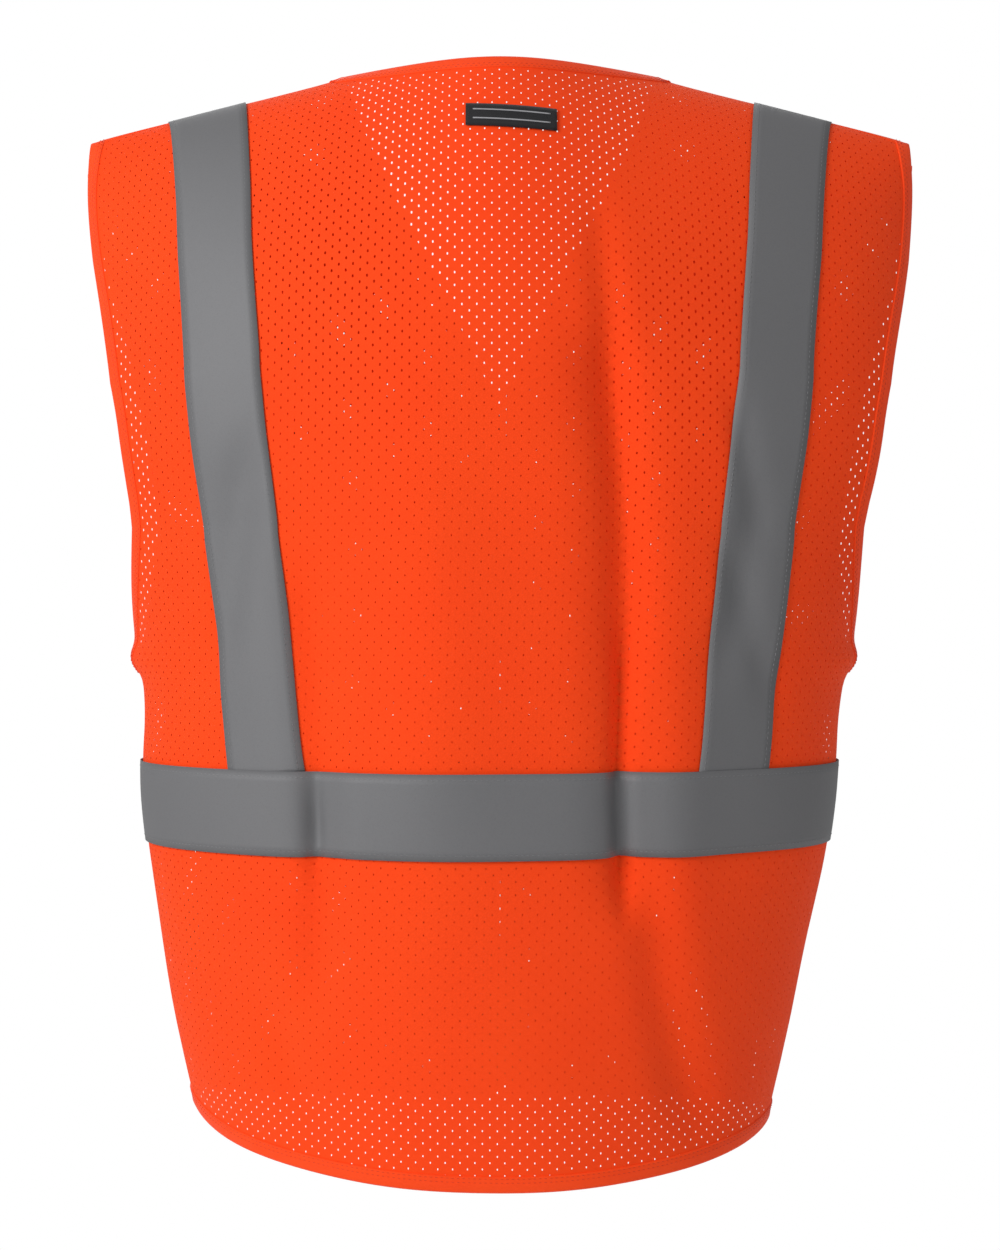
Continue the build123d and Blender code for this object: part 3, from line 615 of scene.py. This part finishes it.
# ---- reflective tape -------------------------------------------------------------------
half_tape = TAPE_WIDTH / 2
tape_middle = WAIST_TAPE_TOP - half_tape
stitch_inset = half_tape - 0.0035
stitch_lift = TAPE_LIFT + TAPE_THICKNESS
waist_profile = tape_profile(-half_tape, half_tape, TAPE_LIFT + WAIST_OVER_SHOULDER)
back_waist = level_path(tape_middle, -90, 90, True)
give(sweep("back_waist_tape", back_waist, waist_profile, TAPE, 0.0022),
     "shell", ["back_waist_tape"])
runs = [(back_waist, side * stitch_inset, stitch_lift + WAIST_OVER_SHOULDER) for side in (-1, 1)]
give(stitch_row("back_waist_stitches", runs, THREAD), "shell")
for hand, word in ((1, "left"), (-1, "right")):
    fold = f"{word}_front"
    zip_turn = float(turn_at(hand * 0.0075, tape_middle))
    front_waist = level_path(tape_middle, zip_turn, hand * 90, False)
    names = [f"{word}_front_waist_tape", f"{word}_side_waist_tape"]
    strip = sweep(f"{word}_front_waist_tape", front_waist, waist_profile, TAPE, 0.0022)
    give(strip, None, names, fold)
    runs = [(front_waist, side * stitch_inset, stitch_lift + WAIST_OVER_SHOULDER) for side in (-1, 1)]
    give(stitch_row(f"{word}_front_waist_stitches", runs, THREAD), None, fold=fold)
    lowest = float(fall_at(turn_at(WAIST_TAPE_X, WAIST_TAPE_TOP), WAIST_TAPE_TOP - 0.004))
    share = np.linspace(-1, 1, 160)
    height = WAIST_TAPE_TOP * np.abs(share)
    x = SHOULDER_TAPE_X + (WAIST_TAPE_X - SHOULDER_TAPE_X) * np.abs(share)
    over = (turn_at(hand * x, height), lowest * share)
    names = [f"{word}_back_shoulder_tape", f"{word}_front_shoulder_tape"]
    strip = sweep(f"{word}_shoulder_tape", over, tape_profile(-half_tape, half_tape), TAPE, 0.0035)
    give(strip, "shell", names)
    runs = [(over, side * stitch_inset, stitch_lift) for side in (-1, 1)]
    give(stitch_row(f"{word}_shoulder_stitches", runs, THREAD), "shell")

# ---- bindings --------------------------------------------------------------------------
neck_x = np.linspace(NECK_HALF_WIDTH, -NECK_HALF_WIDTH, 60)
neck_turn = turn_at(neck_x, 0.0)
neck_path = (neck_turn, fall_at(neck_turn, np.minimum(NECK_BACK_HEIGHT, ridge_height(neck_x) - 0.0006)))
give(sweep("back_neck_binding", neck_path, binding_profile(-1), BINDING_CLOTH),
     "shell", ["back_neck_binding"])
back_hem = level_path(hem_height, -90, 90, True)
give(sweep("back_hem_binding", back_hem, binding_profile(-1), BINDING_CLOTH),
     "shell", ["back_hem_binding"])
lift = BINDING_THICKNESS
runs = [(neck_path, -(BINDING_WIDTH - inset), lift) for inset in (EDGE_STITCH, 0.0032)]
runs += [(back_hem, -(BINDING_WIDTH - inset), lift) for inset in (EDGE_STITCH, 0.0036)]
give(stitch_row("back_binding_stitches", runs, ORANGE_THREAD), "shell")
for hand, word in ((1, "left"), (-1, "right")):
    fold = f"{word}_front"
    fall = np.linspace(LOWEST_FALL - 0.002, -LOWEST_FALL + 0.002, 200)
    armhole = (hand * np.minimum(armhole_turn(fall), SEAM_TURN), fall)
    give(sweep(f"{word}_armhole_binding", armhole, binding_profile(-hand), BINDING_CLOTH),
         "shell", [f"{word}_armhole_binding"])
    runs = [(armhole, -hand * (BINDING_WIDTH - inset), lift) for inset in (EDGE_STITCH, 0.0034)]
    give(stitch_row(f"{word}_armhole_stitches", runs, ORANGE_THREAD), "shell")
    share = np.linspace(0, 1, 80)
    x = neckline_x(share)
    height = (ridge_height(x) - 0.0005) * (1 - share) + NECK_POINT_HEIGHT * share
    turn = turn_at(hand * x, height)
    fall = fall_at(turn, height, False)
    over_fall = np.linspace(float(neck_path[1][0]) + 0.004, float(fall[0]), 12)[:-1]
    front_neck = (np.concatenate([np.full(11, turn[0]), turn]), np.concatenate([over_fall, fall]))
    give(sweep(f"{word}_neck_binding", front_neck, binding_profile(hand), BINDING_CLOTH),
         None, [f"{word}_neck_binding"], fold)
    zip_turn = float(turn_at(hand * 0.006, HEM_HEIGHT))
    hem = level_path(hem_height, zip_turn, hand * 90, False)
    give(sweep(f"{word}_hem_binding", hem, binding_profile(hand), BINDING_CLOTH), None,
         [f"{word}_front_hem_binding", f"{word}_side_hem_binding"], fold)
    runs = [(path, hand * (BINDING_WIDTH - EDGE_STITCH), lift) for path in (front_neck, hem)]
    stitches = stitch_row(f"{word}_front_binding_stitches", runs, ORANGE_THREAD)
    give(stitches, None, fold=fold)
    shoulder = (hand * np.linspace(22.5, TIP_TURN - 2.5, 60), np.zeros(60) + 0.004)
    felled = sweep(f"{word}_shoulder_seam", shoulder, seam_profile(0.0068), BINDING_CLOTH)
    give(felled, "shell")
    seam_fall = np.linspace(LOWEST_FALL + 0.01, 2.58, 80)
    seam = (hand * np.full(80, SEAM_TURN), seam_fall)
    felled = sweep(f"{word}_side_seam", seam, seam_profile(0.0040), BINDING_CLOTH)
    give(felled, "shell")

# ---- patches: labels and pockets -------------------------------------------------------
def patch(name, xs, zs, back, lift, thickness, material, tilt=0.0):
    """Thin closed patch over a grid of distances across and heights; lift may be a function of both."""
    rows = []
    for z in zs:
        for x in xs:
            height = z + tilt * (x - xs[len(xs) // 2])
            turn = turn_at(x, height)
            stand = lift(x, z) if callable(lift) else lift
            rows.append((turn, fall_at(turn, height, back), stand))
    turn, fall, stand = np.array(rows, float).T
    wide, tall = len(xs), len(zs)
    points = np.concatenate([cloth(turn, fall, stand + thickness), cloth(turn, fall, stand)])
    top = grid_faces(tall, wide)
    under = [tuple(k + wide * tall for k in face[::-1]) for face in top]
    rim = [*range(wide)] + [wide * r + wide - 1 for r in range(1, tall)]
    rim += [wide * (tall - 1) + c for c in range(wide - 2, -1, -1)]
    rim += [wide * r for r in range(tall - 2, 0, -1)]
    walls = []
    for k, a in enumerate(rim):
        b = rim[(k + 1) % len(rim)]
        walls.append((b, a, a + wide * tall, b + wide * tall))
    return add_mesh(name, points, top + under + walls, material)


LABEL_X, LABEL_TOP, LABEL_WIDTH, LABEL_HEIGHT, LABEL_TILT = -0.0068, -0.0375, 0.0546, 0.0146, 0.058
label_x = np.linspace(LABEL_X - LABEL_WIDTH / 2, LABEL_X + LABEL_WIDTH / 2, 25)
label_z = np.linspace(LABEL_TOP, LABEL_TOP - LABEL_HEIGHT, 8)
give(patch("neck_label", label_x, label_z, True, 0.0012, 0.0006, BLACK_LABEL, LABEL_TILT),
     "shell", ["neck_label"])
for share in (0.27, 0.68):
    line_x = np.linspace(label_x[0] + 0.0040, label_x[-1] - 0.0044, 25)
    line_z = LABEL_TOP - LABEL_HEIGHT * share + np.array([0.0004, -0.0004])
    name = f"label_line_{int(share * 100)}"
    line = patch(name, line_x, line_z, True, 0.0018, 0.0002, SILVER_THREAD, LABEL_TILT)
    give(line, "shell")
care_x = np.linspace(0.188, 0.199, 5)
care_z = np.linspace(-0.520, -0.565, 10)
give(patch("care_label", care_x, care_z, True, -0.0030, 0.0003, WHITE_LABEL),
     "shell", ["care_label"])


POCKET_INNER_X, POCKET_OUTER_X, POCKET_STITCH_INSET = 0.022, 0.098, 0.0022
POCKET_THICKNESS = 0.0006


def make_pocket(name, hand, top, bottom):
    """Patch pocket: flat at its stitched sides and foot, a little open at its bound mouth."""
    word = "left" if hand == 1 else "right"
    fold = f"{word}_front"
    inner, outer = POCKET_INNER_X, POCKET_OUTER_X

    def stand(x, z):
        across = (abs(x) - inner) / (outer - inner)
        down = (top - z) / (top - bottom)
        belly = math.sin(math.pi * min(max(across, 0), 1)) ** 0.6
        return 0.0010 + 0.0052 * belly * (1 - down) ** 0.55 * min(1.0, (1 - down) * 8)

    xs = hand * np.linspace(inner, outer, 29)
    zs = np.linspace(top, bottom, 40)
    pocket = patch(name, xs, zs, False, stand, POCKET_THICKNESS, POCKET_CLOTH)
    give(pocket, None, [name], fold)
    zs = np.linspace(top + 0.0006, top - 0.011, 5)

    def trim_stand(x, z):
        return stand(x, min(z, top)) + 0.0004

    trim = patch(f"{name}_binding", xs, zs, False, trim_stand, 0.0009, BINDING_CLOTH)
    give(trim, None, [f"{name}_binding"], fold)
    sides = []
    for x in (inner + POCKET_STITCH_INSET, outer - POCKET_STITCH_INSET):
        height = np.linspace(top, bottom, 60)
        turn = turn_at(hand * x, height)
        lift = np.mean([stand(x, z) for z in height]) + POCKET_THICKNESS
        sides.append(((turn, fall_at(turn, height, False)), 0.0, float(lift)))
    first, last = (float(turn_at(hand * x, bottom)) for x in (inner, outer))
    foot = level_path(bottom + POCKET_STITCH_INSET, first, last, False)
    sides.append((foot, 0.0, 0.0020))
    give(stitch_row(f"{name}_stitches", sides, ORANGE_THREAD), None, fold=fold)


make_pocket("chest_pocket", 1, -0.255, -0.385)
make_pocket("left_lower_pocket", 1, -0.512, -0.648)
make_pocket("right_lower_pocket", -1, -0.512, -0.648)

# ---- zip -------------------------------------------------------------------------------
COIL_Y, ZIP_TAPE_Y = -0.12935, -0.1283
SLIDER_TOP, SLIDER_LENGTH, COIL_BOTTOM = -0.203, 0.011, -0.676
PLATE_THICKNESS, COIL_HALF_DEPTH, SLIDER_GAP = 0.0015, 0.0011, 0.0004
# The coils and tapes stop ZIP_EDGE_X from the middle, so that the slider's post passes between them.
COIL_SHIFT, ZIP_EDGE_X, POST_HALF_WIDTH = 0.00048, 0.00022, 0.00015
ZIP_TAPE_THICKNESS, ZIP_TAPE_OUTER_X, ZIP_TAPE_NOTCH_X, ZIP_TAPE_TOP = 0.0006, 0.0150, 0.0056, -0.1995
TOOTH_STEP, TOOTH_HALF_WIDTH, TOOTH_HALF_HEIGHT = 0.0018, 0.00036, 0.00052
TOOTH_PATH = [(0.0032, 0.0007), (0.0019, 0.00078), (0.0006, 0.0006), (0.0001, 0.0), (0.0006, -0.0006)]
TOOTH_PATH += [(0.0019, -0.00078), (0.0032, -0.0007)]
PLACKET_PROFILE = [(0.0, 0.0002), (-0.0004, 0.0008), (0.0, 0.0014), (0.004, 0.0015), (0.0095, 0.0013)]
PLACKET_PROFILE += [(0.0102, 0.0008), (0.0102, 0.0002)]


def coil(name, hand, top):
    """Moulded coil: one U-shaped turn for each tooth, its two legs sewn to the tape."""
    points, faces = [], []
    last = len(TOOTH_PATH) - 1
    sides = 6
    offset = TOOTH_STEP / 2 if hand == 1 else 0.0
    for z in np.arange(COIL_BOTTOM + 0.001 + offset, top, TOOTH_STEP):
        first = len(points)
        for k, (x, y) in enumerate(TOOTH_PATH):
            ahead = np.array(TOOTH_PATH[min(k + 1, last)]) - np.array(TOOTH_PATH[max(k - 1, 0)])
            ahead = ahead / np.linalg.norm(ahead)
            for side in range(sides):
                angle = 2 * math.pi * side / sides
                out = TOOTH_HALF_WIDTH * math.cos(angle)
                place = (x - ahead[1] * out, y + ahead[0] * out, TOOTH_HALF_HEIGHT * math.sin(angle))
                points.append((hand * (place[0] + COIL_SHIFT), COIL_Y + place[1], z + place[2]))
        faces += [tuple(first + k for k in face) for face in grid_faces(last + 1, sides, closed=True)]
    return add_mesh(name, points, faces, COIL_PLASTIC)


def plate(name, outline, low_y, high_y, material, bevel=0.0004):
    """Flat piece cut to an outline of (x, z), with rounded edges."""
    count = len(outline)
    points = [(x, low_y, z) for x, z in outline] + [(x, high_y, z) for x, z in outline]
    faces = [tuple(range(count)), tuple(range(2 * count - 1, count - 1, -1))]
    faces += [(k, k + count, (k + 1) % count + count, (k + 1) % count) for k in range(count)]
    piece = add_mesh(name, points, faces, material)
    rounded = piece.modifiers.new("rounded", "BEVEL")
    rounded.width, rounded.segments, rounded.limit_method = bevel, 3, "ANGLE"
    apply_modifiers(piece)
    return piece


def apply_modifiers(piece):
    graph = bpy.context.evaluated_depsgraph_get()
    mesh = bpy.data.meshes.new_from_object(piece.evaluated_get(graph))
    piece.modifiers.clear()
    piece.data = mesh


def zip_tape(name, hand, inner, low, high):
    """Front and back face of a zip tape, from its inner to its sewn edge."""
    xs = hand * np.linspace(inner, ZIP_TAPE_OUTER_X, 7)
    zs = np.linspace(high, low, 120)
    points = [(x, ZIP_TAPE_Y - ZIP_TAPE_THICKNESS / 2, z) for z in zs for x in xs]
    points += [(x, ZIP_TAPE_Y + ZIP_TAPE_THICKNESS / 2, z) for z in zs for x in xs]
    top = grid_faces(len(zs), len(xs))
    under = [tuple(k + len(zs) * len(xs) for k in face[::-1]) for face in top]
    return add_mesh(name, points, top + under, ZIP_CLOTH)


for hand, word in ((1, "left"), (-1, "right")):
    body = f"{word}_front"
    coil_top = SLIDER_TOP - 0.004 if hand == 1 else SLIDER_TOP - SLIDER_LENGTH - 0.0032
    give(coil(f"{word}_zip_coil", hand, coil_top), body, [f"{word}_zip_coil"])
    tape = zip_tape(f"{word}_zip_tape", hand, ZIP_EDGE_X, COIL_BOTTOM, coil_top)
    upper = zip_tape(f"{word}_zip_tape_end", hand, ZIP_TAPE_NOTCH_X, coil_top, ZIP_TAPE_TOP)
    give(tape, body, [f"{word}_zip_tape"])
    give(upper, body)
    height = np.linspace(NECK_POINT_HEIGHT + 0.002, HEM_HEIGHT + 0.0015, 160)
    turn = turn_at(hand * PLACKET_EDGE_X, height)
    edge = (turn, fall_at(turn, height, False))
    profile = [(hand * offset, lift) for offset, lift in PLACKET_PROFILE]
    placket = sweep(f"{word}_placket", edge, profile, BINDING_CLOTH)
    give(placket, None, fold=body)
    runs = [(edge, hand * 0.0016, 0.0014), (edge, hand * 0.0086, 0.0013)]
    stitches = stitch_row(f"{word}_placket_stitches", runs, ORANGE_THREAD)
    give(stitches, None, fold=body)

# These four nodes keep their CAD shape and only get a material.
for node in ("left_top_stop", "right_top_stop", "retainer_box", "insertion_pin"):
    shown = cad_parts[node]
    if not shown.material_slots:
        shown.data.materials.append(METAL)
    for material_slot in shown.material_slots:
        material_slot.material = METAL

front_y = COIL_Y - COIL_HALF_DEPTH - SLIDER_GAP
back_y = COIL_Y + COIL_HALF_DEPTH + SLIDER_GAP
pin_y, pin_z = -0.13455, SLIDER_TOP - 0.0035
EAR_X, EAR_RADIUS, EAR_HALF_THICKNESS = 0.0026, 0.0021, 0.0006
PIN_RADIUS = 0.0006
POST_LENGTH, POST_SINK = 0.0025, 0.0005
shield = [(0.0030, 0.0), (0.0041, -0.0018), (0.0040, -0.0050), (0.0031, -0.0090), (0.0026, -0.0110)]
outline = [(x, SLIDER_TOP + z) for x, z in shield] + [(-x, SLIDER_TOP + z) for x, z in shield[::-1]]
slider = plate("zip_slider", outline, front_y - PLATE_THICKNESS, front_y, METAL)
give(slider, "slider", ["zip_slider"])
give(plate("slider_back", outline, back_y, back_y + PLATE_THICKNESS, METAL), "slider")
post_bottom = SLIDER_TOP - POST_LENGTH
post_edge = [(-POST_HALF_WIDTH, SLIDER_TOP), (POST_HALF_WIDTH, SLIDER_TOP)]
post_edge += [(POST_HALF_WIDTH, post_bottom), (-POST_HALF_WIDTH, post_bottom)]
post = plate("slider_post", post_edge, front_y - POST_SINK, back_y + POST_SINK, METAL, 0.00005)
give(post, "slider")
for side in (-1, 1):
    angles = np.linspace(0.15, 2 * math.pi, 14)
    arch = [(math.cos(a) * EAR_RADIUS, math.sin(a) * EAR_RADIUS) for a in angles]
    ear = [(side * EAR_X, pin_y + 0.0006 + y, pin_z + z) for y, z in arch]
    ring = [(x + side * EAR_HALF_THICKNESS, y, z) for x, y, z in ear]
    ring += [(x - side * EAR_HALF_THICKNESS, y, z) for x, y, z in ear]
    count = len(ear)
    sides = [(k, (k + 1) % count, (k + 1) % count + count, k + count) for k in range(count)]
    faces = sides + [tuple(range(count))[::-1], tuple(range(count, 2 * count))]
    word = "left" if side == 1 else "right"
    give(add_mesh(f"slider_ear_{word}", ring, faces, METAL), "slider")
angles = np.linspace(0, 2 * math.pi, 13)[:-1]
pin_ring = [(PIN_RADIUS * math.cos(a), PIN_RADIUS * math.sin(a)) for a in angles]
pin = [(x, pin_y + y, pin_z + z) for x in (-EAR_X, EAR_X) for y, z in pin_ring]
give(add_mesh("slider_pin", pin, grid_faces(2, 12, closed=True), METAL), "slider")


# Waisted tab, widest near its foot: its half outline as (x, z) below the pin.
PULL_HALF = [(0.0012, -0.0022), (0.0013, -0.0075), (0.0024, -0.0105), (0.0031, -0.0150)]
PULL_HALF += [(0.0033, -0.0240), (0.0030, -0.0290), (0.0018, -0.0312)]
PULL_HALF_THICKNESS, INLAY_HALF_THICKNESS = 0.0006, 0.0009
INLAY_TOP, INLAY_MIDDLE, INLAY_WIDE, INLAY_TALL = 0.009, 0.0205, 0.72, 0.62
EYE_RADIUS, EYE_HALF_THICKNESS, EYE_HALF_WIDTH = 0.0013, 0.0004, 0.0009
pull_edge = [(x, pin_z + z) for x, z in PULL_HALF] + [(-x, pin_z + z) for x, z in PULL_HALF[::-1]]
tab = plate("zip_pull", pull_edge, pin_y - PULL_HALF_THICKNESS, pin_y + PULL_HALF_THICKNESS, METAL)
give(tab, "pull", ["zip_pull"])
inlay = []
for x, z in pull_edge:
    if z < pin_z - INLAY_TOP:
        inlay.append((x * INLAY_WIDE, pin_z - INLAY_MIDDLE + (z - pin_z + INLAY_MIDDLE) * INLAY_TALL))
front, back = pin_y - INLAY_HALF_THICKNESS, pin_y + INLAY_HALF_THICKNESS
give(plate("pull_inlay", inlay, front, back, COIL_PLASTIC, 0.0002), "pull")
around, across = 16, 8
eye = []
for a in np.linspace(0, 2 * math.pi, around + 1)[:-1]:
    for b in np.linspace(0, 2 * math.pi, across + 1)[:-1]:
        radius = EYE_RADIUS + EYE_HALF_THICKNESS * math.cos(b)
        y, z = pin_y + radius * math.cos(a), pin_z + radius * math.sin(a)
        eye.append((EYE_HALF_WIDTH * math.sin(b), y, z))
eye_faces = grid_faces(around, across, closed=True)
start = (around - 1) * across
eye_faces += [(start + k, start + (k + 1) % across, (k + 1) % across, k) for k in range(across)]
give(add_mesh("pull_eye", eye, eye_faces, METAL), "pull")


# ---- camera, light and floor -----------------------------------------------------------
AIM = (0, 0, -0.35)
WORLD_LIGHT, WORLD_SEEN = 0.46, 1.0
FLOOR_HALF_SIZE, FLOOR_HEIGHT = 1.4, -1.25
CAMERA_PLACE, CAMERA_LENS, CAMERA_SHIFT = (0, 1.330, -0.345), 59.1, -0.008


def area_light(name, place, size, power):
    light = bpy.data.lights.new(name, "AREA")
    light.size, light.energy = size, power
    lamp = bpy.data.objects.new(name, light)
    lamp.location = place
    aim = Vector(AIM) - Vector(place)
    lamp.rotation_euler = aim.to_track_quat("-Z", "Y").to_euler()
    bpy.context.scene.collection.objects.link(lamp)


def studio():
    scene = bpy.context.scene
    scene.view_settings.view_transform = "Standard"
    area_light("key", (2.0, 2.0, 0.7), 1.4, 62)
    area_light("fill", (-2.4, 1.8, 0.2), 2.2, 4)
    area_light("front_glow", (0.3, -2.4, 0.9), 2.2, 30)
    world = bpy.data.worlds.new("studio")
    world.use_nodes = True
    tree = world.node_tree
    shader = tree.nodes["Background"]
    shader.inputs["Color"].default_value = (1, 1, 1, 1)
    seen = tree.nodes.new("ShaderNodeLightPath")
    strength = tree.nodes.new("ShaderNodeMapRange")
    strength.inputs["To Min"].default_value = WORLD_LIGHT
    strength.inputs["To Max"].default_value = WORLD_SEEN
    tree.links.new(seen.outputs["Is Camera Ray"], strength.inputs["Value"])
    tree.links.new(strength.outputs["Result"], shader.inputs["Strength"])
    scene.world = world
    floor = plain_material("floor_paint", (0.93, 0.93, 0.93), (0.90, 0.90, 0.90), 0.8, grain=3)
    size, level = FLOOR_HALF_SIZE, FLOOR_HEIGHT
    corners = [(-size, -size, level), (size, -size, level), (size, size, level), (-size, size, level)]
    add_mesh("floor", corners, [(0, 1, 2, 3)], floor, smooth=False)
    camera = bpy.data.cameras.new("camera")
    camera.sensor_width, camera.lens, camera.shift_y = 36, CAMERA_LENS, CAMERA_SHIFT
    eye = bpy.data.objects.new("camera", camera)
    eye.location = CAMERA_PLACE
    eye.rotation_euler = (math.radians(90), 0, math.radians(180))
    scene.collection.objects.link(eye)
    scene.camera = eye


studio()
